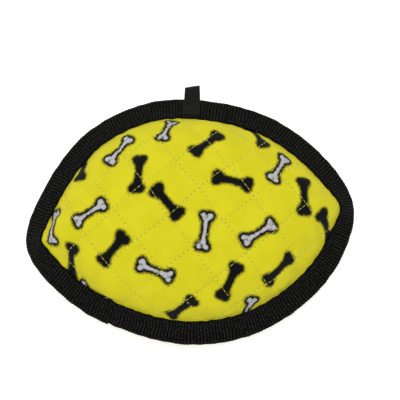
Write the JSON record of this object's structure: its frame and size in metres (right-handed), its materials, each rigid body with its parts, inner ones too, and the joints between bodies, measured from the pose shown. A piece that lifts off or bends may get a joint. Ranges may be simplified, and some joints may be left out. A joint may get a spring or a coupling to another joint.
{
  "type": "quilted fetch toy",
  "caption": "Soft lens-shaped toss and fetch toy: two quilted fleece panels with a bone print, bound in black webbing, with a ribbon hang loop and a squeaker inside.",
  "frame": {"origin": "centre of the small flat on the back panel that the toy rests on", "axes": "+X along the long axis, tip to tip; +Y across, towards the ribbon loop; +Z out of the front panel, up as it lies on its back"},
  "size_m": [0.2556, 0.204, 0.0743],
  "materials": {
    "yellow_fleece": "matte",
    "wadding": "matte",
    "backing_cloth": "matte",
    "quilting_thread": "matte",
    "seam_thread": "matte",
    "black_webbing": "matte",
    "black_thread": "matte",
    "black_ribbon": "satin",
    "fibre_filling": "matte",
    "pocket_cloth": "matte",
    "squeaker_plastic": "satin",
    "bellows_plastic": "satin",
    "reed_holder_plastic": "satin",
    "reed_film": "gloss"
  },
  "bodies": {
    "toy": {"front_fleece": "yellow_fleece", "back_fleece": "yellow_fleece", "front_padding": "wadding", "back_padding": "wadding", "front_backing": "backing_cloth", "back_backing": "backing_cloth", "front_quilting_thread": "quilting_thread", "back_quilting_thread": "quilting_thread", "panel_seam_stitching": "seam_thread", "squeaker_pocket_stitching": "seam_thread", "edge_binding": "black_webbing", "binding_inner_stitching": "black_thread", "binding_outer_stitching": "black_thread", "hang_loop_stitching": "black_thread", "hang_loop_ends": "black_ribbon", "fill_front": "fibre_filling", "fill_back": "fibre_filling", "squeaker_pocket_front": "pocket_cloth", "squeaker_pocket_back": "pocket_cloth", "squeaker_base": "squeaker_plastic", "squeaker_bellows": "bellows_plastic", "squeaker_reed_holder": "reed_holder_plastic", "squeaker_reed": "reed_film"},
    "hang_loop": {"hang_loop": "black_ribbon"},
    "squeaker_top": {"squeaker_top": "squeaker_plastic"}
  },
  "joints": [
    {"name": "hang_loop_flop", "type": "hinge", "parent": "toy", "child": "hang_loop", "pos_m": [0.01122, 0.09264, 0.02887], "axis": [0.9858, -0.1681, 0], "range_deg": [-60, 40], "stiffness_Nm_per_rad": 0.005},
    {"name": "squeaker_squeeze", "type": "slide", "parent": "toy", "child": "squeaker_top", "axis": [0, 0, -1], "range_m": [0, 0.009], "stiffness_N_per_m": 300, "deforming": ["squeaker_bellows"]}
  ]
}
